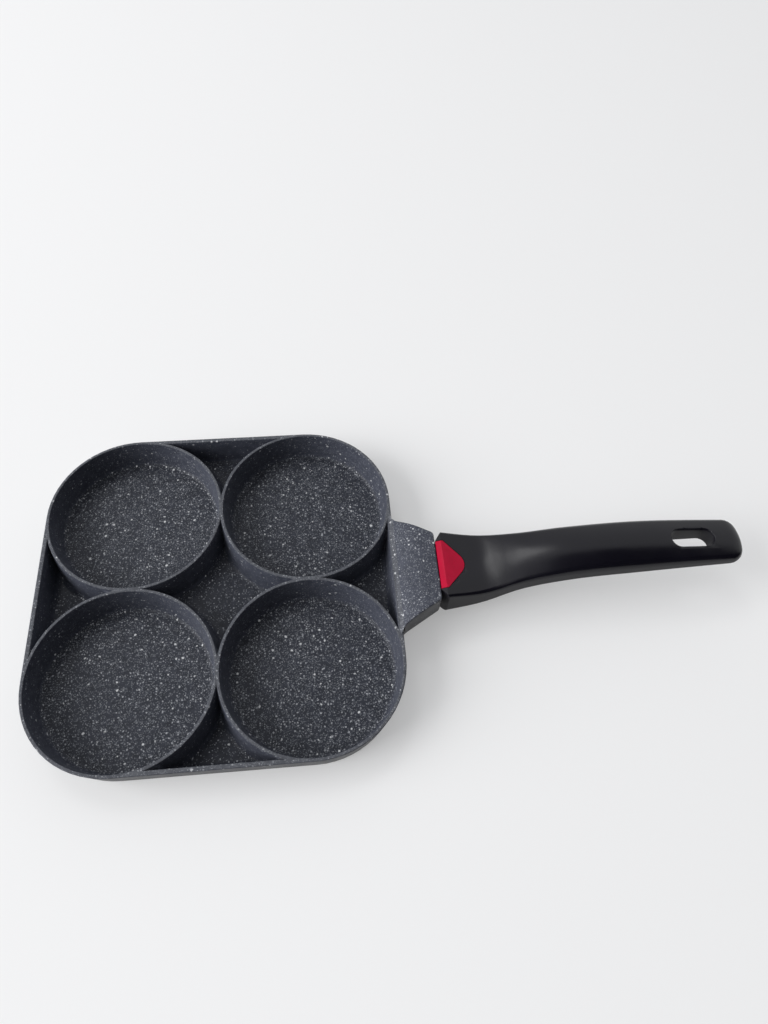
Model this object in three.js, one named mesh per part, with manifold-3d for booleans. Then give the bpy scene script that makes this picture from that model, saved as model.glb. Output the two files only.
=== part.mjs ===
// Four-cup egg pan: a die-cast pan with four shallow round cups in a square tray, and a moulded handle
// screwed to a tang on the casting. Millimetres, +Z up, +X along the handle. The origin is the middle of
// the flat base, so Z = 0 is the surface that the pan stands on.
import * as THREE from "three";
import { mergeVertices } from "three/addons/utils/BufferGeometryUtils.js";
import Module from "manifold-3d";

const wasm = await Module();
wasm.setup();

const degrees = THREE.MathUtils.degToRad;

// Cups and tray
const CUP_PITCH = 94.4; // between the centres of neighbouring cups
const CUP_RIM_RADIUS = 46; // inside a cup, at the rim
const CUP_WALL = 1.75; // a cup's wall at the rim
const SIDE_WALL = 2.4; // the tray's straight walls at the rim
const RIM_HEIGHT = 22;
const FLOOR_THICKNESS = 4.5; // under the cups and the pockets alike
const CUP_DRAFT = degrees(8);
const POCKET_DRAFT = degrees(8);
const OUTER_DRAFT = degrees(7);
const FLOOR_FILLET = 3;
const BASE_FILLET = 3;
const RIM_CHAMFER = 0.4; // breaks the edges of every rim

// Bracket and tang, cast on the wall that faces the handle. Rises and drops are counted from the rim.
const BRACKET_LENGTH = 21.4; // from the rim's outer edge to the end face
const BRACKET_ROOT_WIDTH = 63.2;
const BRACKET_END_WIDTH = 39.5;
const BRACKET_ROOT_FLARE = 9; // how far the fillet spreads along the pan's wall on each side
const BRACKET_CORNER = 2.5;
const BRACKET_END_RISE = 6.6;
const BRACKET_CLIMB_LENGTH = 16; // over which the top swells up from the rim before it levels out
const BRACKET_ROOT_DROP = 12;
const BRACKET_END_DROP = 8;
const TANG_LENGTH = 30;
const TANG_WIDTH = 18;
const TANG_THICKNESS = 5;
const TANG_RISE = 0.5; // the tang's upper face above the rim
const TANG_CORNER = 4;

// Handle
const HANDLE_LENGTH = 163.5;
const HANDLE_TAIL_CORNER = 7; // corner radius of the tail, seen from above
const HANDLE_TAIL_EDGE = 2.2; // how much the tail's end is eased above and below
const HANDLE_BOTTOM_EDGE = 4; // edge radius beside the underside
const FRONT_FACE_WIDTH = 29; // between the chamfered front corners
const FRONT_CORNER_CHAMFER = 3.9; // along the handle
const FRONT_RIDGE_SETBACK = 3.8; // from the front face to the ridge across the top

// Sections of the handle from its front face to its tail. A rise is that of the top edges above the rim, a
// round is the radius of these edges, and a fall is how steeply the crown between them runs into them.
const ROOT_WIDTH = 39.6;
const ROOT_RISE = 8.2;
const ROOT_DEPTH = 21.8;
const ROOT_ROUND = 1.6;
const ROOT_FALL = degrees(0);
const DIP_FROM_FRONT = 23.3;
const DIP_WIDTH = 35.1;
const DIP_RISE = 5.6;
const DIP_DEPTH = 15.8;
const DIP_ROUND = 2.2;
const DIP_FALL = degrees(3);
const NECK_FROM_FRONT = 43.3;
const NECK_WIDTH = 29.6;
const NECK_RISE = 11.7;
const NECK_DEPTH = 14.2;
const NECK_ROUND = 3.4;
const NECK_FALL = degrees(14);
const GRIP_FROM_FRONT = 68;
const GRIP_WIDTH = 28.1;
const GRIP_RISE = 18;
const GRIP_DEPTH = 14.1;
const GRIP_ROUND = 5;
const GRIP_FALL = degrees(22);
const CREST_FROM_TAIL = 55.8;
const CREST_WIDTH = 27.6;
const CREST_RISE = 20.5;
const CREST_DEPTH = 12.8;
const CREST_ROUND = 5;
const CREST_FALL = degrees(22);
const TAIL_WIDTH = 24.4;
const TAIL_RISE = 17.3;
const TAIL_DEPTH = 9;
const TAIL_ROUND = 3.4;
const TAIL_FALL = degrees(16);

// Hanging slot in the tail
const SLOT_FROM_TAIL = 27.9; // to the slot's middle
const SLOT_LENGTH = 24.2;
const SLOT_WIDTH = 9.7;
const SLOT_LIP = 1.8; // radius of the rounded lip round the slot, above and below
const SLOT_LIP_PROUD = 0.4; // how far the lip's arc starts outside the handle, so that it ends in an edge

// Coloured insert at the front of the handle
const INSERT_WIDTH = 27.6;
const INSERT_REACH = 16.6; // from the front face to where its slanting sides would meet
const INSERT_TIP_RADIUS = 7; // rounds off that point
const INSERT_FLOOR_RISE = 2.8; // its underside above the rim

// Handle screw and washers, fitted from below
const SCREW_FROM_FRONT = 16;
const SCREW_DIAMETER = 5;
const SCREW_HEAD_DIAMETER = 9;
const SCREW_HEAD_HEIGHT = 2.4;
const SCREW_CROSS_WIDTH = 1.2;
const SCREW_CROSS_LENGTH = 5;
const SCREW_CROSS_DEPTH = 1.3;
const SPRING_WASHER_DIAMETER = 8.8;
const SPRING_WASHER_THICKNESS = 1.1;
const SPRING_WASHER_SPLIT = degrees(14);
const FLAT_WASHER_DIAMETER = 10;
const FLAT_WASHER_THICKNESS = 0.8;
const SCREW_SEAT_WALL = 2.4; // handle material between the socket and the washers

// Clearances and facets
const FIT_CLEARANCE = 0.3; // beside a piece that sits in another
const SEAT_CLEARANCE = 0.05; // between pieces that are clamped together
const CUT_MARGIN = 5; // how far a cutter runs past what it cuts
const MERGE_TOLERANCE = 1e-4;
const CIRCLE_STEPS = 64;
const SMALL_CIRCLE_STEPS = 24;
const FILLET_STEPS = 3;
const SECTION_ARC_STEPS = 6;
const CROWN_STEPS = 6;
const BRACKET_TOP_STEPS = 6;
const HANDLE_STEPS = 31; // sections from the front face to where the tail's corners begin
const TAIL_STEPS = 6;

// Places that follow from the sizes above
const CUP_CENTRE = CUP_PITCH / 2;
const RIM_OUTER_RADIUS = CUP_RIM_RADIUS + CUP_WALL;
const HALF_WIDTH = CUP_CENTRE + RIM_OUTER_RADIUS;
const WALL_HEIGHT = RIM_HEIGHT - FLOOR_THICKNESS;
const BRACKET_END = HALF_WIDTH + BRACKET_LENGTH;
const HANDLE_FRONT = BRACKET_END + FIT_CLEARANCE;
const TANG_TOP = RIM_HEIGHT + TANG_RISE;
const TANG_BOTTOM = TANG_TOP - TANG_THICKNESS;
const SCREW_X = HANDLE_FRONT + SCREW_FROM_FRONT;
const SCREW_SEAT = TANG_BOTTOM - FIT_CLEARANCE - SCREW_SEAT_WALL;
const FLAT_WASHER_TOP = SCREW_SEAT - SEAT_CLEARANCE;
const SPRING_WASHER_TOP = FLAT_WASHER_TOP - FLAT_WASHER_THICKNESS - SEAT_CLEARANCE;
const SCREW_HEAD_TOP = SPRING_WASHER_TOP - SPRING_WASHER_THICKNESS - SEAT_CLEARANCE;
const SCREW_HOLE_DIAMETER = SCREW_DIAMETER + 2 * FIT_CLEARANCE;

// A closed geometry as a solid that can be joined and cut.
function solidOf(geometry) {
  const bare = geometry.clone();
  bare.deleteAttribute("normal");
  bare.deleteAttribute("uv");
  const merged = mergeVertices(bare, MERGE_TOLERANCE);
  const corners = merged.index.array;
  const kept = [];
  for (let i = 0; i < corners.length; i += 3) {
    const [a, b, c] = corners.slice(i, i + 3);
    if (a !== b && b !== c && c !== a) kept.push(a, b, c);
  }
  const vertProperties = merged.attributes.position.array;
  return new wasm.Manifold(new wasm.Mesh({ numProp: 3, vertProperties, triVerts: new Uint32Array(kept) }));
}

// A solid as a named mesh with its own material.
function meshOf(name, solid, material) {
  const { vertProperties, triVerts } = solid.getMesh();
  const geometry = new THREE.BufferGeometry();
  geometry.setAttribute("position", new THREE.BufferAttribute(vertProperties, 3));
  geometry.setIndex(new THREE.BufferAttribute(triVerts, 1));
  geometry.computeVertexNormals();
  const mesh = new THREE.Mesh(geometry, new THREE.MeshStandardMaterial(material));
  mesh.name = name;
  return mesh;
}

// A polyline with round corners. Each corner is [x, y] or [x, y, radius, steps].
function filleted(corners, closed = false) {
  const points = [];
  corners.forEach(([x, y, radius = 0, steps = FILLET_STEPS], i) => {
    const corner = new THREE.Vector2(x, y);
    const isEnd = !closed && (i === 0 || i === corners.length - 1);
    if (radius === 0 || isEnd) {
      points.push(corner);
      return;
    }
    const before = corners.at(i - 1);
    const after = corners[(i + 1) % corners.length];
    const back = new THREE.Vector2(before[0], before[1]).sub(corner).normalize();
    const ahead = new THREE.Vector2(after[0], after[1]).sub(corner).normalize();
    const halfAngle = Math.acos(back.dot(ahead)) / 2;
    const bisector = back.clone().add(ahead).normalize();
    const centre = corner.clone().addScaledVector(bisector, radius / Math.sin(halfAngle));
    const start = corner.clone().addScaledVector(back, radius / Math.tan(halfAngle)).sub(centre);
    const sweep = (Math.PI - 2 * halfAngle) * -Math.sign(back.cross(ahead));
    for (let k = 0; k <= steps; k++) {
      const turned = start.clone().rotateAround(new THREE.Vector2(), (sweep * k) / steps);
      points.push(turned.add(centre));
    }
  });
  return points;
}

// A profile of [radius, height] points turned round a vertical axis at x, y.
function turned(profile, x, y, steps) {
  const geometry = new THREE.LatheGeometry(profile, steps);
  geometry.rotateX(Math.PI / 2);
  geometry.translate(x, y, 0);
  return solidOf(geometry);
}

// An upright prism on a plan outline, between two heights.
function upright(outline, low, high) {
  const geometry = new THREE.ExtrudeGeometry(new THREE.Shape(outline), {
    depth: high - low,
    bevelEnabled: false,
  });
  geometry.translate(0, 0, low);
  return solidOf(geometry);
}

// A prism on an outline of [x, height] points, centred across the handle's axis.
function sideways(outline, width) {
  const geometry = new THREE.ExtrudeGeometry(new THREE.Shape(outline), {
    depth: width,
    bevelEnabled: false,
  });
  geometry.translate(0, 0, -width / 2);
  geometry.rotateX(Math.PI / 2);
  return solidOf(geometry);
}

// A skin through rings of equally many points, closed by a fan at each end. The rings run anticlockwise
// when seen from the end where the last ring lies.
function loft(rings) {
  const count = rings[0].length;
  const middle = (ring) => ring.reduce((sum, p) => sum.add(p), new THREE.Vector3()).divideScalar(count);
  const points = [...rings.flat(), middle(rings[0]), middle(rings.at(-1))];
  const firstMiddle = points.length - 2;
  const lastMiddle = points.length - 1;
  const lastRing = (rings.length - 1) * count;
  const triangles = [];
  for (let i = 0; i < count; i++) {
    const next = (i + 1) % count;
    for (let base = 0; base < lastRing; base += count) {
      triangles.push(base + i, base + next, base + count + next);
      triangles.push(base + i, base + count + next, base + count + i);
    }
    triangles.push(firstMiddle, next, i);
    triangles.push(lastMiddle, lastRing + i, lastRing + next);
  }
  const geometry = new THREE.BufferGeometry().setFromPoints(points);
  geometry.setIndex(triangles);
  return solidOf(geometry);
}

function joined(solids) {
  return solids.reduce((sum, solid) => sum.add(solid));
}

// The four cup centres, as [x, y]
const cupCentres = [-1, 1].flatMap((x) => [-1, 1].map((y) => [x * CUP_CENTRE, y * CUP_CENTRE]));

// A bar with mirrored sides that runs between two neighbouring cups' centres, and the same bar across it.
function crossOf(profile) {
  const right = profile.map(({ x, y }) => new THREE.Vector2(CUP_CENTRE + x, y));
  const left = right.map(({ x, y }) => new THREE.Vector2(-x, y)).reverse();
  const bar = sideways([...right, ...left], CUP_PITCH);
  return bar.add(bar.rotate([0, 0, 90]));
}

// The tray's outside, filled in: straight sides with a round corner about each cup.
function trayBlock() {
  const baseRadius = RIM_OUTER_RADIUS - RIM_HEIGHT * Math.tan(OUTER_DRAFT);
  const side = filleted([
    [0, 0],
    [baseRadius, 0, BASE_FILLET],
    [RIM_OUTER_RADIUS, RIM_HEIGHT, RIM_CHAMFER, 1],
    [0, RIM_HEIGHT],
  ]);
  const corners = cupCentres.map(([x, y]) => turned(side, x, y, CIRCLE_STEPS));
  return joined([crossOf(side.slice(1, -1)), ...corners]);
}

// The space inside a cup, open at the top.
function cupSpace(x, y) {
  const floorRadius = CUP_RIM_RADIUS - WALL_HEIGHT * Math.tan(CUP_DRAFT);
  const profile = filleted([
    [0, FLOOR_THICKNESS],
    [floorRadius, FLOOR_THICKNESS, FLOOR_FILLET],
    [CUP_RIM_RADIUS, RIM_HEIGHT - RIM_CHAMFER],
    [CUP_RIM_RADIUS + RIM_CHAMFER, RIM_HEIGHT],
    [CUP_RIM_RADIUS + RIM_CHAMFER, RIM_HEIGHT + CUT_MARGIN],
    [0, RIM_HEIGHT + CUT_MARGIN],
  ]);
  return turned(profile, x, y, CIRCLE_STEPS);
}

// A cup filled in, with the outside that the pockets between the cups show.
function cupBlock(x, y) {
  const footRadius = RIM_OUTER_RADIUS + WALL_HEIGHT * Math.tan(POCKET_DRAFT);
  const profile = filleted([
    [0, 0],
    [footRadius + 2 * FLOOR_FILLET, 0],
    [footRadius + 2 * FLOOR_FILLET, FLOOR_THICKNESS],
    [footRadius, FLOOR_THICKNESS, FLOOR_FILLET],
    [RIM_OUTER_RADIUS, RIM_HEIGHT - RIM_CHAMFER],
    [RIM_OUTER_RADIUS - RIM_CHAMFER, RIM_HEIGHT],
    [RIM_OUTER_RADIUS - RIM_CHAMFER, RIM_HEIGHT + 2 * CUT_MARGIN],
    [0, RIM_HEIGHT + 2 * CUT_MARGIN],
  ]);
  return turned(profile, x, y, CIRCLE_STEPS);
}

// The pockets between the cups: one in the middle and one at each side.
function pockets() {
  const rimRadius = RIM_OUTER_RADIUS - SIDE_WALL;
  const floorRadius = rimRadius - WALL_HEIGHT * Math.tan(POCKET_DRAFT);
  const inside = filleted([
    [0, FLOOR_THICKNESS],
    [floorRadius, FLOOR_THICKNESS, FLOOR_FILLET],
    [rimRadius, RIM_HEIGHT - RIM_CHAMFER],
    [rimRadius + RIM_CHAMFER, RIM_HEIGHT],
    [rimRadius + RIM_CHAMFER, RIM_HEIGHT + CUT_MARGIN],
    [0, RIM_HEIGHT + CUT_MARGIN],
  ]);
  const cups = joined(cupCentres.map(([x, y]) => cupBlock(x, y)));
  return crossOf(inside.slice(1, -1)).subtract(cups);
}

// The bracket: a tapered slab from the pan's wall, whose top swells up from the rim to the handle.
function bracket() {
  const root = HALF_WIDTH - SIDE_WALL + 2 * RIM_CHAMFER;
  const foot = root - BRACKET_ROOT_DROP * Math.tan(OUTER_DRAFT);
  const rootHalf = BRACKET_ROOT_WIDTH / 2;
  const endHalf = BRACKET_END_WIDTH / 2;
  const plan = filleted([
    [foot, -rootHalf - BRACKET_ROOT_FLARE],
    [HALF_WIDTH, -rootHalf, BRACKET_ROOT_FLARE],
    [BRACKET_END, -endHalf, BRACKET_CORNER],
    [BRACKET_END, endHalf, BRACKET_CORNER],
    [HALF_WIDTH, rootHalf, BRACKET_ROOT_FLARE],
    [foot, rootHalf + BRACKET_ROOT_FLARE],
  ]);
  const top = RIM_HEIGHT + BRACKET_END_RISE;
  const side = new THREE.Shape();
  side.moveTo(foot, RIM_HEIGHT - BRACKET_ROOT_DROP);
  side.lineTo(BRACKET_END, RIM_HEIGHT - BRACKET_END_DROP);
  side.lineTo(BRACKET_END, top);
  side.lineTo(root + BRACKET_CLIMB_LENGTH, top);
  side.quadraticCurveTo(root + BRACKET_CLIMB_LENGTH / 2, top, root, RIM_HEIGHT);
  const slab = sideways(side.getPoints(BRACKET_TOP_STEPS), BRACKET_ROOT_WIDTH + 4 * BRACKET_ROOT_FLARE);
  return slab.intersect(upright(plan, 0, top + CUT_MARGIN));
}

// The tang that the handle slips over, grown by a margin to make its socket.
function tang(margin) {
  const half = TANG_WIDTH / 2 + margin;
  const end = BRACKET_END + TANG_LENGTH + margin;
  const plan = filleted([
    [BRACKET_END - BRACKET_CORNER, -half],
    [end, -half, TANG_CORNER],
    [end, half, TANG_CORNER],
    [BRACKET_END - BRACKET_CORNER, half],
  ]);
  return upright(plan, TANG_BOTTOM - margin, TANG_TOP + margin);
}

// An upright rod on the screw's axis, between two heights.
function screwRod(diameter, low, high) {
  const radius = diameter / 2;
  const profile = filleted([
    [0, low],
    [radius, low],
    [radius, high],
    [0, high],
  ]);
  return turned(profile, SCREW_X, 0, SMALL_CIRCLE_STEPS);
}

function panBody() {
  const cups = joined(cupCentres.map(([x, y]) => cupSpace(x, y)));
  const tray = trayBlock().subtract(pockets()).subtract(cups);
  const tapped = screwRod(SCREW_HOLE_DIAMETER, TANG_BOTTOM - CUT_MARGIN, TANG_TOP + CUT_MARGIN);
  return joined([tray, bracket(), tang(0).subtract(tapped)]);
}

// The handle's sections, each as its place along the handle, half width, top, underside, round and fall.
// Heights are above the rim.
const handleSections = [
  [0, ROOT_WIDTH, ROOT_RISE, ROOT_DEPTH, ROOT_ROUND, ROOT_FALL],
  [DIP_FROM_FRONT, DIP_WIDTH, DIP_RISE, DIP_DEPTH, DIP_ROUND, DIP_FALL],
  [NECK_FROM_FRONT, NECK_WIDTH, NECK_RISE, NECK_DEPTH, NECK_ROUND, NECK_FALL],
  [GRIP_FROM_FRONT, GRIP_WIDTH, GRIP_RISE, GRIP_DEPTH, GRIP_ROUND, GRIP_FALL],
  [HANDLE_LENGTH - CREST_FROM_TAIL, CREST_WIDTH, CREST_RISE, CREST_DEPTH, CREST_ROUND, CREST_FALL],
  [HANDLE_LENGTH, TAIL_WIDTH, TAIL_RISE, TAIL_DEPTH, TAIL_ROUND, TAIL_FALL],
].map(([along, width, rise, depth, round, fall]) => [along, width / 2, rise, rise - depth, round, fall]);

// The handle's half width, top, underside, round and fall at any place along it, on smooth curves through
// the sections.
const handleCurves = new THREE.CubicInterpolant(
  handleSections.map(([along]) => along),
  handleSections.flatMap(([, ...sizes]) => sizes),
  handleSections[0].length - 1,
);

// The crown of a section's top: a parabola that meets the rounded edges on both sides at the fall.
function crownOf(half, top, round, fall) {
  const across = half - round * (1 - Math.sin(fall));
  const edge = top - round * (1 - Math.cos(fall));
  return new THREE.QuadraticBezierCurve(
    new THREE.Vector2(across, edge),
    new THREE.Vector2(0, edge + across * Math.tan(fall)),
    new THREE.Vector2(-across, edge),
  );
}

// Points on a round corner of a section, anticlockwise from one angle to another.
function cornerPoints(across, height, radius, from, to) {
  return new THREE.EllipseCurve(across, height, radius, radius, from, to).getPoints(SECTION_ARC_STEPS);
}

// One cross-section of the handle, as a ring of points across its length.
function handleRing(along, half, top, bottom, edgeRound, fall) {
  const upper = Math.min(edgeRound, half / 2);
  const lower = Math.min(HANDLE_BOTTOM_EDGE, half / 2);
  const right = Math.PI / 2;
  const outline = [
    ...cornerPoints(half - lower, bottom + lower, lower, -right, 0),
    ...cornerPoints(half - upper, top - upper, upper, 0, right - fall),
    ...crownOf(half, top, upper, fall).getPoints(CROWN_STEPS).slice(1, -1),
    ...cornerPoints(upper - half, top - upper, upper, right + fall, 2 * right),
    ...cornerPoints(lower - half, bottom + lower, lower, 2 * right, 3 * right),
  ];
  return outline.map(({ x, y }) => new THREE.Vector3(HANDLE_FRONT + along, x, RIM_HEIGHT + y));
}

// The handle's outer form, before anything is cut from it.
function handleBlank() {
  const tailStart = HANDLE_LENGTH - HANDLE_TAIL_CORNER;
  const rings = [];
  const addRing = (along, tuck, ease) => {
    const [half, top, bottom, round, fall] = handleCurves.evaluate(along);
    rings.push(handleRing(along, half - tuck, top - ease, bottom + ease, round, fall));
  };
  for (let k = 0; k < HANDLE_STEPS; k++) {
    addRing((tailStart * k) / HANDLE_STEPS, 0, 0);
  }
  for (let k = 0; k <= TAIL_STEPS; k++) {
    const angle = ((Math.PI / 2) * k) / TAIL_STEPS;
    const drawnIn = 1 - Math.cos(angle);
    const along = tailStart + HANDLE_TAIL_CORNER * Math.sin(angle);
    addRing(along, HANDLE_TAIL_CORNER * drawnIn, HANDLE_TAIL_EDGE * drawnIn);
  }
  return loft(rings);
}

// The wedges cut from the handle's front: one at each corner, and one along the top up to the ridge.
function frontWedges() {
  const halfFace = FRONT_FACE_WIDTH / 2;
  const slope = (ROOT_WIDTH / 2 - halfFace) / FRONT_CORNER_CHAMFER;
  const reach = CUT_MARGIN;
  const cornerPlan = [
    [HANDLE_FRONT - reach, halfFace - reach * slope],
    [HANDLE_FRONT + FRONT_CORNER_CHAMFER + reach, halfFace + (FRONT_CORNER_CHAMFER + reach) * slope],
    [HANDLE_FRONT - reach, halfFace + (FRONT_CORNER_CHAMFER + reach) * slope],
  ].map(([x, y]) => new THREE.Vector2(x, y));
  const farCorner = upright(cornerPlan, 0, 2 * RIM_HEIGHT);
  const nearCorner = farCorner.mirror([0, 1, 0]);
  const frontRise = RIM_HEIGHT + BRACKET_END_RISE;
  const climb = (ROOT_RISE - BRACKET_END_RISE) / FRONT_RIDGE_SETBACK;
  const topSide = [
    [HANDLE_FRONT - reach, frontRise - reach * climb],
    [HANDLE_FRONT + FRONT_RIDGE_SETBACK + reach, frontRise + (FRONT_RIDGE_SETBACK + reach) * climb],
    [HANDLE_FRONT - reach, frontRise + (FRONT_RIDGE_SETBACK + reach) * climb],
  ].map(([x, z]) => new THREE.Vector2(x, z));
  const top = sideways(topSide, 3 * FRONT_FACE_WIDTH);
  return joined([farCorner, nearCorner, top]);
}

// The insert's upright prism, grown by a margin to make its pocket. Its plan runs straight back from the
// front face to the ridge, and from there its sides slant in to a round tip.
function insertPrism(margin) {
  const half = INSERT_WIDTH / 2;
  const shoulder = HANDLE_FRONT + FRONT_RIDGE_SETBACK;
  const point = HANDLE_FRONT + INSERT_REACH;
  const slant = Math.atan2(half, point - shoulder);
  const grownShoulder = shoulder + margin * Math.tan(slant / 2);
  const start = HANDLE_FRONT - CUT_MARGIN;
  const plan = filleted([
    [start, -half - margin],
    [grownShoulder, -half - margin],
    [point + margin / Math.sin(slant), 0, INSERT_TIP_RADIUS + margin, 2 * FILLET_STEPS],
    [grownShoulder, half + margin],
    [start, half + margin],
  ]);
  return upright(plan, RIM_HEIGHT + INSERT_FLOOR_RISE - margin, 2 * RIM_HEIGHT);
}

// The heights of the handle's top and underside at a place along and across it.
function handleTop(x, y) {
  const [half, top, , round, fall] = handleCurves.evaluate(x - HANDLE_FRONT);
  const crown = crownOf(half, top, round, fall);
  return RIM_HEIGHT + crown.getPoint((1 - y / crown.v0.x) / 2).y;
}

function handleUnderside(x) {
  const [, , underside] = handleCurves.evaluate(x - HANDLE_FRONT);
  return RIM_HEIGHT + underside;
}

// A ring of the slot's outline, widened all round, at the height that heightAt gives for each of its points.
function slotRing(widen, heightAt) {
  const radius = SLOT_WIDTH / 2 + widen;
  const straight = (SLOT_LENGTH - SLOT_WIDTH) / 2;
  const middle = HANDLE_FRONT + HANDLE_LENGTH - SLOT_FROM_TAIL;
  const halfTurn = Math.PI;
  const ends = [
    new THREE.EllipseCurve(middle + straight, 0, radius, radius, -halfTurn / 2, halfTurn / 2),
    new THREE.EllipseCurve(middle - straight, 0, radius, radius, halfTurn / 2, 1.5 * halfTurn),
  ];
  const outline = ends.flatMap((end) => end.getPoints(SMALL_CIRCLE_STEPS / 2));
  return outline.map(({ x, y }) => new THREE.Vector3(x, y, heightAt(x, y)));
}

// The hanging slot, with a rounded lip where it meets the handle's top and underside.
function slotCutter() {
  const quarter = Array.from({ length: FILLET_STEPS + 1 }, (_, k) => ((Math.PI / 2) * k) / FILLET_STEPS);
  const lip = quarter.map((a) => [
    SLOT_LIP * (1 - Math.sin(a)),
    SLOT_LIP * (1 - Math.cos(a)) - SLOT_LIP_PROUD,
  ]);
  const lowLip = lip.map(([widen, inward]) => slotRing(widen, (x) => handleUnderside(x) + inward));
  const highLip = lip.map(([widen, inward]) => slotRing(widen, (x, y) => handleTop(x, y) - inward)).reverse();
  const below = slotRing(SLOT_LIP, (x) => handleUnderside(x) - CUT_MARGIN);
  const above = slotRing(SLOT_LIP, (x, y) => handleTop(x, y) + CUT_MARGIN);
  return loft([below, ...lowLip, ...highLip, above]);
}

function handlePieces() {
  const blank = handleBlank().subtract(frontWedges());
  const insert = blank.intersect(insertPrism(0));
  const screwHole = screwRod(SCREW_HOLE_DIAMETER, SCREW_SEAT - CUT_MARGIN, TANG_BOTTOM);
  const screwWell = screwRod(FLAT_WASHER_DIAMETER + 2 * FIT_CLEARANCE, 0, SCREW_SEAT);
  const cuts = [tang(FIT_CLEARANCE), insertPrism(FIT_CLEARANCE), slotCutter(), screwHole, screwWell];
  return { handle: blank.subtract(joined(cuts)), insert };
}

// A pan-head screw whose head is below the washers and whose shank ends inside the tang.
function handleScrew() {
  const head = screwRod(SCREW_HEAD_DIAMETER, SCREW_HEAD_TOP - SCREW_HEAD_HEIGHT, SCREW_HEAD_TOP);
  const shank = screwRod(SCREW_DIAMETER, SCREW_HEAD_TOP - SCREW_HEAD_HEIGHT / 2, TANG_TOP - SEAT_CLEARANCE);
  const headBottom = SCREW_HEAD_TOP - SCREW_HEAD_HEIGHT;
  const arm = new THREE.BoxGeometry(SCREW_CROSS_LENGTH, SCREW_CROSS_WIDTH, 2 * SCREW_CROSS_DEPTH);
  arm.translate(SCREW_X, 0, headBottom);
  const otherArm = new THREE.BoxGeometry(SCREW_CROSS_WIDTH, SCREW_CROSS_LENGTH, 2 * SCREW_CROSS_DEPTH);
  otherArm.translate(SCREW_X, 0, headBottom);
  return head.add(shank).subtract(solidOf(arm).add(solidOf(otherArm)));
}

// A washer round the screw, split where an opening angle is given.
function washer(diameter, thickness, top, split = 0) {
  const inner = SCREW_DIAMETER / 2 + FIT_CLEARANCE;
  const outer = diameter / 2;
  const first = split / 2;
  const last = 2 * Math.PI - split / 2;
  const ring = new THREE.Shape();
  ring.absarc(0, 0, outer, first, last);
  if (split > 0) {
    ring.absarc(0, 0, inner, last, first, true);
  } else {
    ring.holes.push(new THREE.Path().absarc(0, 0, inner, first, last));
  }
  const geometry = new THREE.ExtrudeGeometry(ring, {
    depth: thickness,
    bevelEnabled: false,
    curveSegments: SMALL_CIRCLE_STEPS / 2,
  });
  geometry.translate(SCREW_X, 0, top - thickness);
  return solidOf(geometry);
}

const castCoat = { color: 0x34363b, roughness: 0.5, metalness: 0.1 };
const blackPhenolic = { color: 0x1c1c1e, roughness: 0.3, metalness: 0 };
const redPlastic = { color: 0xb31c33, roughness: 0.35, metalness: 0 };
const zincSteel = { color: 0xb4b6b8, roughness: 0.35, metalness: 1 };

const { handle, insert } = handlePieces();
const flatWasher = washer(FLAT_WASHER_DIAMETER, FLAT_WASHER_THICKNESS, FLAT_WASHER_TOP);
const springWasher = washer(
  SPRING_WASHER_DIAMETER,
  SPRING_WASHER_THICKNESS,
  SPRING_WASHER_TOP,
  SPRING_WASHER_SPLIT,
);

const eggPan = new THREE.Group();
eggPan.add(
  meshOf("pan_body", panBody(), castCoat),
  meshOf("handle", handle, blackPhenolic),
  meshOf("handle_root_insert", insert, redPlastic),
  meshOf("flat_washer", flatWasher, zincSteel),
  meshOf("spring_washer", springWasher, zincSteel),
  meshOf("handle_screw", handleScrew(), zincSteel),
);

export default eggPan;
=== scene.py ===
import math

import bmesh
import bpy
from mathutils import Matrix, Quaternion, Vector


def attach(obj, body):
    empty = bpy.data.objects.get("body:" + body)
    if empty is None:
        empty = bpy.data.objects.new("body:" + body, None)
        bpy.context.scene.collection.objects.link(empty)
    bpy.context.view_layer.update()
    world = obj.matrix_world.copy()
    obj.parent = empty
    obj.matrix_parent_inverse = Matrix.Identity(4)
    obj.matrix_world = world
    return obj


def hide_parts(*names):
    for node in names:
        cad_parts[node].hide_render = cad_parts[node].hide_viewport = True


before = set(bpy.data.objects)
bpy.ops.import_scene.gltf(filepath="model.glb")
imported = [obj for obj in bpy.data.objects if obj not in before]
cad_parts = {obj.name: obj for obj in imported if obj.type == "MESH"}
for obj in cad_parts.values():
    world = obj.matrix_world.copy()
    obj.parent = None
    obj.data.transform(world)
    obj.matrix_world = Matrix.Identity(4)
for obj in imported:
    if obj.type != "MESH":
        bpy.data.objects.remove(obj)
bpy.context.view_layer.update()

MM = 0.001
UP = Vector((0, 0, 1))
WHITE = (1.0, 1.0, 1.0, 1.0)

# Camera of the photograph: where it stands, the point it looks at, how far it is tilted and its lens
CAMERA_PLACE = Vector((58.8, -168.1, 380.3)) * MM
CAMERA_AIM = Vector((91.1, 38.0, 22.0)) * MM
CAMERA_TILT = math.radians(4.45)
CAMERA_LENS = 25.83
CAMERA_SENSOR = 36.0
CAMERA_NEAREST = 10 * MM

# Pale paper under a white sky. Its glow gives the paper its pale tone for the lens and in reflections,
# and keeps its shadows.
PAPER_HALF = 1.6
PAPER_DROP = 0.2 * MM  # keeps the paper clear of the base's face
PAPER_COLOUR = (0.535, 0.535, 0.54)
PAPER_GLOW = 0.31
SHEET_ROUGHNESS = 0.9
SHEET_SPECULAR = 0.1
SKY_COLOUR = (0.97, 0.985, 1.0)
SKY_LEVEL = 0.63
SKY_SEEN = 0.9  # the same sky behind the object and in its reflections

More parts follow.
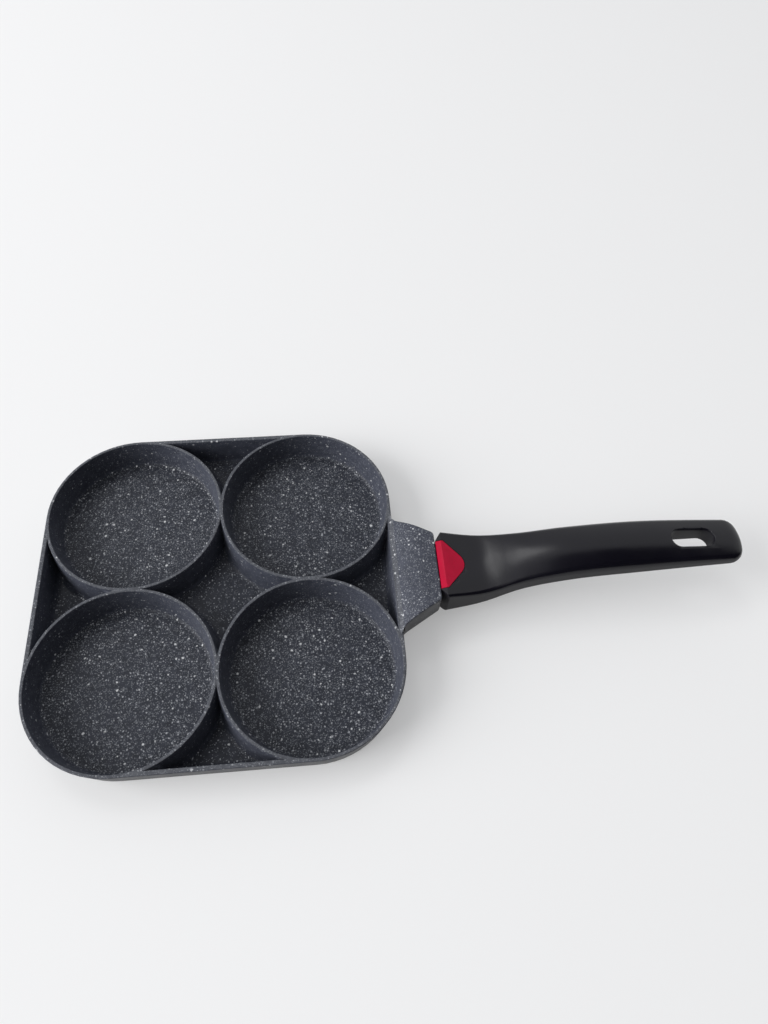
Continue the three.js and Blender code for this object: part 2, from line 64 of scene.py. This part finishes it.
# A dark screen at the front right, and a black card above the handle that only shows in reflections
SCREEN_DIRECTION = Vector((0.64, -0.77, 0.0))
SCREEN_DISTANCE = 3.2
SCREEN_HALF_WIDTH = 4.0
SCREEN_HEIGHT = 5.6
SCREEN_COLOUR = (0.02, 0.02, 0.022)
CARD_CORNER = Vector((-0.2, -1.6, 1.8))
CARD_WIDTH = 1.8
CARD_DEPTH = 1.82

# Lamps, aimed at the origin: name, direction, distance, size and power
LAMPS = (
    ("side_lamp", Vector((-0.85, -0.12, 0.5)), 3.4, 2.5, 134.0),
    ("top_lamp", Vector((-0.25, 0.42, 0.885)), 2.0, 0.5, 3.2),
)

# Where the coat changes, in part with painted light and shade: cups, pockets, the upper edge of the
# casting, and walls against level faces
CUP_CENTRE = 47.2 * MM
CUP_REACH = 46.9 * MM
RIM_LOW = 16.5 * MM
RIM_HIGH = 21.0 * MM
PAN_REACH = 95.5 * MM  # the bracket is past this, along the handle
WALL_RISE = 0.3  # rise of a surface normal: walls below this, level faces above the next
LEVEL_RISE = 0.9

# Merged copies of the CAD nodes
MERGE_DISTANCE = 0.002 * MM
FLAT_ANGLE = math.radians(0.2)
CASTING_CREASE = math.radians(50)
MOULDING_CREASE = math.radians(20)
FASTENER_CREASE = math.radians(35)
OUTSIDE_RISE = 0.02  # a face whose normal rises less than this is on the outside of the casting
TOP_RISE = 0.8  # a face whose normal rises more than this is a top face
SIDE_RISE = 0.3  # and one that rises less than this is a side face

# Eased edges of the bracket and the insert
TANG_TOP = 22.6 * MM
BRACKET_EDGE_SOFTNESS = 0.8 * MM
INSERT_RIDGE_SOFTNESS = 1.3 * MM
INSERT_EDGE_SOFTNESS = 0.35 * MM


# Node helpers

def fill_sockets(tree, node, values):
    """Sets a node's inputs to constants, or links them to other nodes' outputs."""
    for name, value in values.items():
        socket = node.inputs[name]
        if isinstance(value, bpy.types.NodeSocket):
            tree.links.new(value, socket)
        else:
            socket.default_value = value


def add_node(tree, kind, values, **settings):
    """A node with its settings and inputs."""
    made = tree.nodes.new(kind)
    for name, value in settings.items():
        setattr(made, name, value)
    fill_sockets(tree, made, values)
    return made


def calculate(tree, operation, first, second=0.0, third=0.0):
    """The output of one Math node."""
    made = add_node(tree, "ShaderNodeMath", {0: first, 1: second, 2: third}, operation=operation)
    return made.outputs[0]


def multiply(tree, first, second):
    """The product of two values."""
    return calculate(tree, "MULTIPLY", first, second)


def scale_and_add(tree, value, factor, offset):
    """A value times a factor plus an offset."""
    return calculate(tree, "MULTIPLY_ADD", value, factor, offset)


def rising_from(tree, start, value):
    """Goes from a starting share up to 1 as a value goes from 0 to 1."""
    return scale_and_add(tree, value, 1.0 - start, start)


def falling_by(tree, loss, value):
    """Goes from 1 down by a loss as a value goes from 0 to 1."""
    return scale_and_add(tree, value, -loss, 1.0)


def map_range(tree, values, interpolation="LINEAR"):
    """The output of one Map Range node."""
    made = add_node(tree, "ShaderNodeMapRange", values, interpolation_type=interpolation)
    return made.outputs[0]


def vector_step(tree, operation, first, second=(0.0, 0.0, 0.0), third=(0.0, 0.0, 0.0)):
    """One Vector Math node's outputs."""
    made = add_node(tree, "ShaderNodeVectorMath", {0: first, 1: second, 2: third}, operation=operation)
    return made.outputs


def split_place(tree, vector):
    """The three outputs X, Y and Z of a vector."""
    return add_node(tree, "ShaderNodeSeparateXYZ", {"Vector": vector}).outputs


def blend_colours(tree, share, first, second):
    """The output of one colour Mix node."""
    made = tree.nodes.new("ShaderNodeMix")
    made.data_type = "RGBA"
    colours = [s for s in made.inputs if s.type == "RGBA"]
    for socket, value in zip((made.inputs[0], *colours), (share, first, second)):
        if isinstance(value, bpy.types.NodeSocket):
            tree.links.new(value, socket)
        else:
            socket.default_value = value
    return next(s for s in made.outputs if s.type == "RGBA")


def start_group(name, inputs, outputs):
    """An empty shader node group with named sockets, and its inner ends."""
    tree = bpy.data.node_groups.new(name, "ShaderNodeTree")
    for socket, kind in inputs:
        tree.interface.new_socket(socket, in_out="INPUT", socket_type=kind)
    for socket, kind in outputs:
        tree.interface.new_socket(socket, in_out="OUTPUT", socket_type=kind)
    return tree, tree.nodes.new("NodeGroupInput").outputs, tree.nodes.new("NodeGroupOutput").inputs


def place_group(tree, group, values):
    """A group in a material, with its own values."""
    made = tree.nodes.new("ShaderNodeGroup")
    made.node_tree = group
    fill_sockets(tree, made, values)
    return made.outputs


def start_material(name):
    """A material with its shader and its object coordinates."""
    material = bpy.data.materials.new(name)
    material.use_nodes = True
    tree = material.node_tree
    place = tree.nodes.new("ShaderNodeTexCoord").outputs["Object"]
    return material, tree, tree.nodes["Principled BSDF"], place


def surface_rise(tree):
    """How far the surface's normal rises: 1 on a level face, 0 on a wall and -1 underneath."""
    normal = tree.nodes.new("ShaderNodeTexCoord").outputs["Normal"]
    return split_place(tree, normal)["Z"]


def lay_finish(tree, shader, colour, roughness, normal):
    """Links a finish's three patterns to its shader."""
    tree.links.new(colour, shader.inputs["Base Color"])
    tree.links.new(roughness, shader.inputs["Roughness"])
    tree.links.new(normal, shader.inputs["Normal"])


# Camera and studio

def photo_camera():
    """The camera that took the photograph."""
    lens = bpy.data.cameras.new("photo_camera")
    lens.sensor_width = CAMERA_SENSOR
    lens.lens = CAMERA_LENS
    lens.clip_start = CAMERA_NEAREST
    camera = bpy.data.objects.new("photo_camera", lens)
    look = CAMERA_AIM - CAMERA_PLACE
    tilt = Quaternion((0.0, 0.0, 1.0), CAMERA_TILT)
    camera.rotation_mode = "QUATERNION"
    camera.rotation_quaternion = look.to_track_quat("-Z", "Y") @ tilt
    camera.location = CAMERA_PLACE
    bpy.context.scene.collection.objects.link(camera)
    bpy.context.scene.camera = camera


def seen_directly(tree):
    """1 for the lens, in reflections and through clear pieces, and 0 where a surface is only lit."""
    rays = tree.nodes.new("ShaderNodeLightPath").outputs
    seen = calculate(tree, "ADD", rays["Is Camera Ray"], rays["Is Glossy Ray"])
    seen = calculate(tree, "ADD", seen, rays["Is Transmission Ray"])
    return calculate(tree, "MINIMUM", seen, 1.0)


def sheet_mesh(name, corner, across, up):
    """A rectangle from one corner along two edges."""
    work = bmesh.new()
    start = work.verts.new(corner)
    edge = bmesh.ops.extrude_vert_indiv(work, verts=[start])
    bmesh.ops.translate(work, verts=edge["verts"], vec=across)
    raised = bmesh.ops.extrude_edge_only(work, edges=edge["edges"])
    moved = [v for v in raised["geom"] if isinstance(v, bmesh.types.BMVert)]
    bmesh.ops.translate(work, verts=moved, vec=up)
    mesh = bpy.data.meshes.new(name)
    work.to_mesh(mesh)
    work.free()
    return mesh


def sheet_finish(name, colour, glow):
    """A plain matt finish, which glows a little where it is seen directly."""
    material = bpy.data.materials.new(name)
    material.use_nodes = True
    tree = material.node_tree
    shader = tree.nodes["Principled BSDF"]
    shader.inputs["Base Color"].default_value = (*colour, 1.0)
    shader.inputs["Roughness"].default_value = SHEET_ROUGHNESS
    shader.inputs["Specular IOR Level"].default_value = SHEET_SPECULAR
    if glow:
        tree.links.new(multiply(tree, seen_directly(tree), glow), shader.inputs["Emission Strength"])
        shader.inputs["Emission Color"].default_value = WHITE
    return material


def stage_sheet(name, corner, across, up, colour, glow=0.0):
    """A flat sheet of the studio."""
    mesh = sheet_mesh(name, corner, across, up)
    mesh.materials.append(sheet_finish(name, colour, glow))
    sheet = bpy.data.objects.new(name, mesh)
    bpy.context.scene.collection.objects.link(sheet)
    return sheet


def paper():
    """The pale paper that the pan lies on."""
    corner = Vector((-PAPER_HALF, -PAPER_HALF, -PAPER_DROP))
    wide = Vector((2 * PAPER_HALF, 0, 0))
    deep = Vector((0, 2 * PAPER_HALF, 0))
    stage_sheet("paper", corner, wide, deep, PAPER_COLOUR, PAPER_GLOW)


def dark_screen():
    """A dark screen that shades the front right and reflects in the gloss."""
    toward = SCREEN_DIRECTION.normalized()
    along = toward.cross(UP) * SCREEN_HALF_WIDTH
    corner = toward * SCREEN_DISTANCE - along
    screen = stage_sheet("dark_screen", corner, 2 * along, UP * SCREEN_HEIGHT, SCREEN_COLOUR)
    screen.visible_camera = False


def black_card():
    """A card whose reflection darkens the handle's near edge, and which takes no light away."""
    wide = Vector((CARD_WIDTH, 0, 0))
    deep = Vector((0, CARD_DEPTH, 0))
    card = stage_sheet("black_card", CARD_CORNER, wide, deep, SCREEN_COLOUR)
    card.visible_camera = False
    card.visible_diffuse = False
    card.visible_shadow = False


def studio_sky():
    """An even white sky."""
    sky = bpy.data.worlds.new("studio_sky")
    sky.use_nodes = True
    tree = sky.node_tree
    background = tree.nodes["Background"]
    background.inputs["Color"].default_value = (*SKY_COLOUR, 1.0)
    level = scale_and_add(tree, seen_directly(tree), SKY_SEEN - SKY_LEVEL, SKY_LEVEL)
    tree.links.new(level, background.inputs["Strength"])
    bpy.context.scene.world = sky


def studio_lamps():
    """The square lamps."""
    for name, direction, distance, size, power in LAMPS:
        lamp = bpy.data.lights.new(name, "AREA")
        lamp.shape = "SQUARE"
        lamp.size = size
        lamp.energy = power
        holder = bpy.data.objects.new(name, lamp)
        holder.location = direction.normalized() * distance
        holder.rotation_mode = "QUATERNION"
        holder.rotation_quaternion = direction.to_track_quat("Z", "Y")
        bpy.context.scene.collection.objects.link(holder)


# Effects that several finishes share

# Sizes of chips against their stated radius, and where a chip's soft edge starts and ends, in its radii
SMALLEST_CHIP = 0.6
CHIP_SIZE_RANGE = 0.8
CHIP_EDGE_START = 0.6
CHIP_EDGE_END = 1.15

# The middle part of a noise, which is stretched over a finish's whole range
NOISE_LOW = 0.3
NOISE_HIGH = 0.7


def stone_specks_group():
    """Pale chips scattered in a coat. Cell is their mean spacing and Radius their size, both lengths."""
    tree, given, result = start_group(
        "stone_specks",
        [
            ("Place", "NodeSocketVector"),
            ("Cell", "NodeSocketFloat"),
            ("Radius", "NodeSocketFloat"),
            ("Share", "NodeSocketFloat"),
        ],
        [("Mask", "NodeSocketFloat"), ("Tone", "NodeSocketFloat")],
    )
    per_metre = calculate(tree, "DIVIDE", 1.0, given["Cell"])
    chips = add_node(tree, "ShaderNodeTexVoronoi", {"Vector": given["Place"], "Scale": per_metre})
    lot = add_node(tree, "ShaderNodeSeparateColor", {"Color": chips.outputs["Color"]}).outputs
    present = calculate(tree, "LESS_THAN", lot["Red"], given["Share"])
    radius = calculate(tree, "DIVIDE", given["Radius"], given["Cell"])
    varied = multiply(tree, radius, scale_and_add(tree, lot["Green"], CHIP_SIZE_RANGE, SMALLEST_CHIP))
    inside = map_range(
        tree,
        {
            "Value": chips.outputs["Distance"],
            "From Min": multiply(tree, varied, CHIP_EDGE_START),
            "From Max": multiply(tree, varied, CHIP_EDGE_END),
            "To Min": 1.0,
            "To Max": 0.0,
        },
        "SMOOTHSTEP",
    )
    tree.links.new(multiply(tree, inside, present), result["Mask"])
    tree.links.new(lot["Blue"], result["Tone"])
    return tree


def uneven_finish_group():
    """A value that drifts between Low and High in soft patches of about Patch across."""
    tree, given, result = start_group(
        "uneven_finish",
        [
            ("Place", "NodeSocketVector"),
            ("Patch", "NodeSocketFloat"),
            ("Low", "NodeSocketFloat"),
            ("High", "NodeSocketFloat"),
        ],
        [("Value", "NodeSocketFloat")],
    )
    per_metre = calculate(tree, "DIVIDE", 1.0, given["Patch"])
    noise = add_node(
        tree,
        "ShaderNodeTexNoise",
        {"Vector": given["Place"], "Scale": per_metre, "Detail": 3.0, "Roughness": 0.6},
    )
    spread = map_range(
        tree,
        {
            "Value": noise.outputs[0],
            "From Min": NOISE_LOW,
            "From Max": NOISE_HIGH,
            "To Min": given["Low"],
            "To Max": given["High"],
        },
    )
    tree.links.new(spread, result["Value"])
    return tree


def fine_grain_group():
    """A small bump from grains of about Grain across and Depth high."""
    tree, given, result = start_group(
        "fine_grain",
        [
            ("Place", "NodeSocketVector"),
            ("Grain", "NodeSocketFloat"),
            ("Depth", "NodeSocketFloat"),
        ],
        [("Normal", "NodeSocketVector")],
    )
    per_metre = calculate(tree, "DIVIDE", 1.0, given["Grain"])
    noise = add_node(
        tree,
        "ShaderNodeTexNoise",
        {"Vector": given["Place"], "Scale": per_metre, "Detail": 2.0, "Roughness": 0.5},
    )
    height = multiply(tree, noise.outputs[0], given["Depth"])
    bump = add_node(tree, "ShaderNodeBump", {"Strength": 1.0, "Distance": 1.0, "Height": height})
    tree.links.new(bump.outputs[0], result["Normal"])
    return tree


stone_specks = stone_specks_group()
uneven_finish = uneven_finish_group()
fine_grain = fine_grain_group()


def drift(tree, place, patch, low=0.0, high=1.0):
    """A value that drifts over the surface."""
    values = {"Place": place, "Patch": patch, "Low": low, "High": high}
    return place_group(tree, uneven_finish, values)["Value"]


def mottled(tree, place, patch, darkest, palest):
    """A colour that drifts over the surface."""
    return blend_colours(tree, drift(tree, place, patch), darkest, palest)


def relief(tree, place, grain, depth):
    """The normal of a finely grained surface."""
    return place_group(tree, fine_grain, {"Place": place, "Grain": grain, "Depth": depth})["Normal"]


def scatter_chips(tree, place, spacing, radius, share):
    """One size of chip: where it shows, and how bright each chip is."""
    values = {"Place": place, "Cell": spacing, "Radius": radius, "Share": share}
    return place_group(tree, stone_specks, values)


# Speckled coat inside the pan: its darkest and palest colours by place. Its walls are paler and bluer than
# the level faces in the cups: partly the coat's own tone, partly a painted sheen.
COAT_MOTTLE = 3 * MM
WALL_COLOURS_WITH_PAINTED_SHEEN = ((0.042, 0.046, 0.062, 1.0), (0.066, 0.071, 0.093, 1.0))
FLOOR_COLOURS = ((0.018, 0.020, 0.027, 1.0), (0.032, 0.035, 0.047, 1.0))
# Level faces at the rim are paler than those low in the cups: partly the coat's own tone, partly painted
# light on the open tops
RIM_COLOURS_WITH_PAINTED_LIGHT = ((0.058, 0.061, 0.072, 1.0), (0.090, 0.094, 0.108, 1.0))
RIM_PALENESS_WITH_PAINTED_LIGHT = 0.75  # how far a level face at the rim keeps the walls' colour

# Its chips: spacing, radius, share of the places that hold one, and colour
COAT_CHIPS = (
    (0.72 * MM, 0.29 * MM, 0.88, (0.18, 0.19, 0.21, 1.0)),
    (1.35 * MM, 0.38 * MM, 0.55, (0.41, 0.42, 0.45, 1.0)),
    (3.6 * MM, 0.55 * MM, 0.46, (0.80, 0.81, 0.83, 1.0)),
)
CHIP_CLOUDS = 15 * MM
FEWEST_CHIPS = 0.65
MOST_CHIPS = 1.1
CHIPS_ON_WALLS = 0.55  # against 1 on level faces
# Half the chips are gone in the pockets between the cups, which darkens them: partly fewer chips, partly
# painted shade in these deep narrow pockets
POCKET_CHIP_LOSS_AS_SHADE = 0.5
CHIP_TONE_ON_WALLS = 0.75
CHIP_TONE_LOST_AT_RIMS = 0.18
DULLEST_CHIP = 0.5
RAGGED_PATCH = 1.3 * MM
RAGGED_PUSH = 0.9 * MM


def pocket_shade_share(tree, place, rim):
    """Where the pockets' painted shade goes: 1 in the pockets between the cups, below the rims, and 0 in
    the cups.
    """
    folded = vector_step(tree, "ABSOLUTE", place)[0]
    seen_from_above = vector_step(tree, "MULTIPLY", folded, (1.0, 1.0, 0.0))[0]
    from_cup = vector_step(tree, "DISTANCE", seen_from_above, (CUP_CENTRE, CUP_CENTRE, 0.0))["Value"]
    outside_cups = calculate(tree, "GREATER_THAN", from_cup, CUP_REACH)
    return multiply(tree, outside_cups, calculate(tree, "SUBTRACT", 1.0, rim))


def ragged_place(tree, place):
    """Coordinates pushed about a little, which makes round chips ragged."""
    warp = add_node(tree, "ShaderNodeTexNoise", {"Vector": place, "Scale": 1 / RAGGED_PATCH, "Detail": 1.0})
    push = vector_step(tree, "SUBTRACT", warp.outputs["Color"], (0.5, 0.5, 0.5))[0]
    return vector_step(tree, "MULTIPLY_ADD", push, (RAGGED_PUSH,) * 3, place)[0]


def speckled_coat():
    """The dark non-stick coat inside the pan, full of pale stone chips on its level faces."""
    material, tree, shader, place = start_material("speckled_coat")
    flat = map_range(tree, {"Value": surface_rise(tree), "From Min": WALL_RISE, "From Max": LEVEL_RISE})
    spot = split_place(tree, place)
    rim = map_range(tree, {"Value": spot["Z"], "From Min": RIM_LOW, "From Max": RIM_HIGH})
    on_pan = calculate(tree, "LESS_THAN", spot["X"], PAN_REACH)
    on_rim = multiply(tree, multiply(tree, rim, flat), on_pan)
    pocket_shade = pocket_shade_share(tree, place, rim)

    mottle = drift(tree, place, COAT_MOTTLE)
    # Walls take the paler, bluer colours, in part a painted sheen: the bluish gloss of a wall seen at a
    # slant
    walls = blend_colours(tree, mottle, *WALL_COLOURS_WITH_PAINTED_SHEEN)
    floors = blend_colours(tree, mottle, *FLOOR_COLOURS)
    # Level faces near the top, the rims and the bracket's top, are paler: in part painted light, as the cup
    # floors below lie in shade
    rims = blend_colours(tree, mottle, *RIM_COLOURS_WITH_PAINTED_LIGHT)
    colour = blend_colours(tree, scale_and_add(tree, rim, -RIM_PALENESS_WITH_PAINTED_LIGHT, flat), walls, floors)
    colour = blend_colours(tree, on_rim, colour, rims)

    clouds = drift(tree, place, CHIP_CLOUDS, FEWEST_CHIPS, MOST_CHIPS)
    amount = multiply(tree, rising_from(tree, CHIPS_ON_WALLS, flat), clouds)
    amount = multiply(tree, amount, falling_by(tree, POCKET_CHIP_LOSS_AS_SHADE, pocket_shade))
    on_walls = rising_from(tree, CHIP_TONE_ON_WALLS, flat)
    strength = multiply(tree, on_walls, falling_by(tree, CHIP_TONE_LOST_AT_RIMS, rim))
    ragged = ragged_place(tree, place)
    for spacing, radius, share, tone in COAT_CHIPS:
        chips = scatter_chips(tree, ragged, spacing, radius, multiply(tree, amount, share))
        cover = multiply(tree, rising_from(tree, DULLEST_CHIP, chips["Tone"]), strength)
        colour = blend_colours(tree, multiply(tree, chips["Mask"], cover), colour, tone)

    roughness = drift(tree, place, 9 * MM, 0.42, 0.52)
    lay_finish(tree, shader, colour, roughness, relief(tree, place, 0.7 * MM, 0.03 * MM))
    shader.inputs["Specular IOR Level"].default_value = 0.17
    return material


# Coat outside the pan, and the turned rings under its base
OUTER_COLOURS = ((0.036, 0.038, 0.044, 1.0), (0.052, 0.054, 0.062, 1.0))
OUTER_CHIP_SPACING = 1.5 * MM
OUTER_CHIP_RADIUS = 0.43 * MM
OUTER_CHIP_SHARE = 0.4
OUTER_CHIP_COVER = 0.6
OUTER_CHIP_COLOUR = (0.40, 0.41, 0.44, 1.0)
UNDERSIDE_RISE = -0.95
BASE_COLOUR = (0.034, 0.035, 0.039, 1.0)
RING_COLOUR = (0.085, 0.086, 0.090, 1.0)
RING_COVER = 0.7
RING_POLISH = 0.12
RING_SPACING = 3.2 * MM
WAVES_PER_SCALE = 20 / math.tau  # rings in a unit length of Blender's wave texture at a scale of 1


def outer_coat():
    """The coat outside the pan: pale chips on its sides, and turned rings under the base."""
    material, tree, shader, place = start_material("outer_coat")
    colour = mottled(tree, place, 4 * MM, *OUTER_COLOURS)
    chips = scatter_chips(tree, place, OUTER_CHIP_SPACING, OUTER_CHIP_RADIUS, OUTER_CHIP_SHARE)
    cover = multiply(tree, chips["Mask"], multiply(tree, chips["Tone"], OUTER_CHIP_COVER))
    colour = blend_colours(tree, cover, colour, OUTER_CHIP_COLOUR)

    under = calculate(tree, "LESS_THAN", surface_rise(tree), UNDERSIDE_RISE)
    rings = add_node(
        tree,
        "ShaderNodeTexWave",
        {"Vector": place, "Scale": 1 / (WAVES_PER_SCALE * RING_SPACING), "Distortion": 0.0},
        wave_type="RINGS",
        rings_direction="Z",
    ).outputs["Fac"]
    turned = multiply(tree, rings, under)
    colour = blend_colours(tree, under, colour, BASE_COLOUR)
    colour = blend_colours(tree, multiply(tree, turned, RING_COVER), colour, RING_COLOUR)

    roughness = scale_and_add(tree, turned, -RING_POLISH, drift(tree, place, 12 * MM, 0.42, 0.52))
    lay_finish(tree, shader, colour, roughness, relief(tree, place, 0.6 * MM, 0.025 * MM))
    shader.inputs["Specular IOR Level"].default_value = 0.3
    return material


# Black phenolic, whose sides are more matt than its top, between two rises of its surface's normal
PHENOLIC_COLOURS = ((0.0032, 0.0029, 0.0056, 1.0), (0.0045, 0.0041, 0.0074, 1.0))
MATT_RISE = 0.1
GLOSS_RISE = 0.6
SIDE_ROUGHNESS = 0.55


def black_phenolic():
    """Black moulded phenolic of the handle, glossier on its top than on its sides."""
    material, tree, shader, place = start_material("black_phenolic")
    colour = mottled(tree, place, 20 * MM, *PHENOLIC_COLOURS)
    roughness = map_range(
        tree,
        {
            "Value": surface_rise(tree),
            "From Min": MATT_RISE,
            "From Max": GLOSS_RISE,
            "To Min": SIDE_ROUGHNESS,
            "To Max": drift(tree, place, 14 * MM, 0.21, 0.27),
        },
    )
    lay_finish(tree, shader, colour, roughness, relief(tree, place, 1.2 * MM, 0.006 * MM))
    shader.inputs["Specular IOR Level"].default_value = 0.34
    return material


# Crimson and zinc, each from its darkest to its palest colour
CRIMSON_COLOURS = ((0.36, 0.003, 0.026, 1.0), (0.42, 0.004, 0.032, 1.0))
ZINC_COLOURS = ((0.50, 0.51, 0.52, 1.0), (0.62, 0.63, 0.63, 1.0))


def red_plastic():
    """Satin crimson plastic of the insert."""
    material, tree, shader, place = start_material("red_plastic")
    colour = mottled(tree, place, 6 * MM, *CRIMSON_COLOURS)
    roughness = drift(tree, place, 5 * MM, 0.20, 0.28)
    lay_finish(tree, shader, colour, roughness, relief(tree, place, 0.8 * MM, 0.008 * MM))
    shader.inputs["Specular IOR Level"].default_value = 0.13
    return material


def zinc_plate():
    """Bright zinc plating of the screw and washers."""
    material, tree, shader, place = start_material("zinc_plate")
    colour = mottled(tree, place, 2 * MM, *ZINC_COLOURS)
    roughness = drift(tree, place, 1.5 * MM, 0.28, 0.42)
    lay_finish(tree, shader, colour, roughness, relief(tree, place, 0.3 * MM, 0.006 * MM))
    shader.inputs["Metallic"].default_value = 1.0
    return material


# Pieces

def merged_node(node):
    """A CAD node's mesh with its loose triangles joined and its flat faces whole."""
    work = bmesh.new()
    work.from_mesh(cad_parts[node].data)
    bmesh.ops.remove_doubles(work, verts=work.verts, dist=MERGE_DISTANCE)
    bmesh.ops.dissolve_limit(work, angle_limit=FLAT_ANGLE, verts=work.verts, edges=work.edges)
    return work


def soften(work, edges, width, steps):
    """Rounds the given edges off."""
    bmesh.ops.bevel(
        work,
        geom=edges,
        offset=width,
        offset_type="OFFSET",
        segments=steps,
        profile=0.5,
        affect="EDGES",
        clamp_overlap=True,
        material=-1,
    )


def finished_piece(work, node, name, crease, finishes):
    """A piece that shades smoothly except across its creases, in place of a CAD node."""
    for face in work.faces:
        face.smooth = True
        face.material_index = 0
        if len(finishes) > 1 and face.normal.z < OUTSIDE_RISE:
            face.material_index = 1
    mesh = bpy.data.meshes.new(name)
    work.to_mesh(mesh)
    work.free()
    mesh.set_sharp_from_angle(angle=crease)
    for finish in finishes:
        mesh.materials.append(finish)
    piece = bpy.data.objects.new(name, mesh)
    bpy.context.scene.collection.objects.link(piece)
    weighted = piece.modifiers.new("weighted_normals", "WEIGHTED_NORMAL")
    weighted.keep_sharp = True
    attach(piece, "root")
    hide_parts(node)


def bracket_edges(work):
    """The sharp edges round the bracket's top, clear of the pan's own rim."""
    pan_side = max(v.co.y for v in work.verts)
    return [
        e
        for e in work.edges
        if e.is_manifold
        and e.calc_face_angle() > CASTING_CREASE
        and min(v.co.x for v in e.verts) > pan_side + BRACKET_EDGE_SOFTNESS
        and max(f.normal.z for f in e.link_faces) > TOP_RISE
        and min(v.co.z for v in e.verts) > TANG_TOP
    ]


def cast_pan(inside, outside):
    """The cast pan with its bracket, whose top edges are eased, and its tang."""
    work = merged_node("pan_body")
    short = [e for e in bracket_edges(work) if e.calc_length() < BRACKET_EDGE_SOFTNESS]
    bmesh.ops.collapse(work, edges=short)
    soften(work, bracket_edges(work), BRACKET_EDGE_SOFTNESS, steps=3)
    finished_piece(work, "pan_body", "cast_pan", CASTING_CREASE, [inside, outside])


def moulded_handle(finish):
    """The black handle."""
    work = merged_node("handle")
    finished_piece(work, "handle", "moulded_handle", MOULDING_CREASE, [finish])


def red_insert(finish):
    """The red insert, with a soft ridge across its top and eased edges."""
    work = merged_node("handle_root_insert")
    front = min(v.co.x for v in work.verts)
    top = max(v.co.z for v in work.verts)
    ridge = [
        e
        for e in work.edges
        if e.is_manifold
        and e.calc_face_angle() > MOULDING_CREASE
        and abs(e.verts[0].co.x - e.verts[1].co.x) < MERGE_DISTANCE
        and min(v.co.x for v in e.verts) > front + INSERT_RIDGE_SOFTNESS
        and min(v.co.z for v in e.verts) > top - INSERT_RIDGE_SOFTNESS
    ]
    soften(work, ridge, INSERT_RIDGE_SOFTNESS, steps=4)
    outline = [
        e
        for e in work.edges
        if e.is_manifold
        and max(f.normal.z for f in e.link_faces) > TOP_RISE
        and min(abs(f.normal.z) for f in e.link_faces) < SIDE_RISE
    ]
    soften(work, outline, INSERT_EDGE_SOFTNESS, steps=2)
    finished_piece(work, "handle_root_insert", "red_insert", MOULDING_CREASE, [finish])


def handle_fastening(finish):
    """The screw that holds the handle, with its two washers."""
    for node, name in (
        ("flat_washer", "plain_washer"),
        ("spring_washer", "split_washer"),
        ("handle_screw", "cross_head_screw"),
    ):
        finished_piece(merged_node(node), node, name, FASTENER_CREASE, [finish])


bpy.context.scene.view_settings.view_transform = "Standard"
photo_camera()
paper()
dark_screen()
black_card()
studio_sky()
studio_lamps()

cast_pan(speckled_coat(), outer_coat())
moulded_handle(black_phenolic())
red_insert(red_plastic())
handle_fastening(zinc_plate())
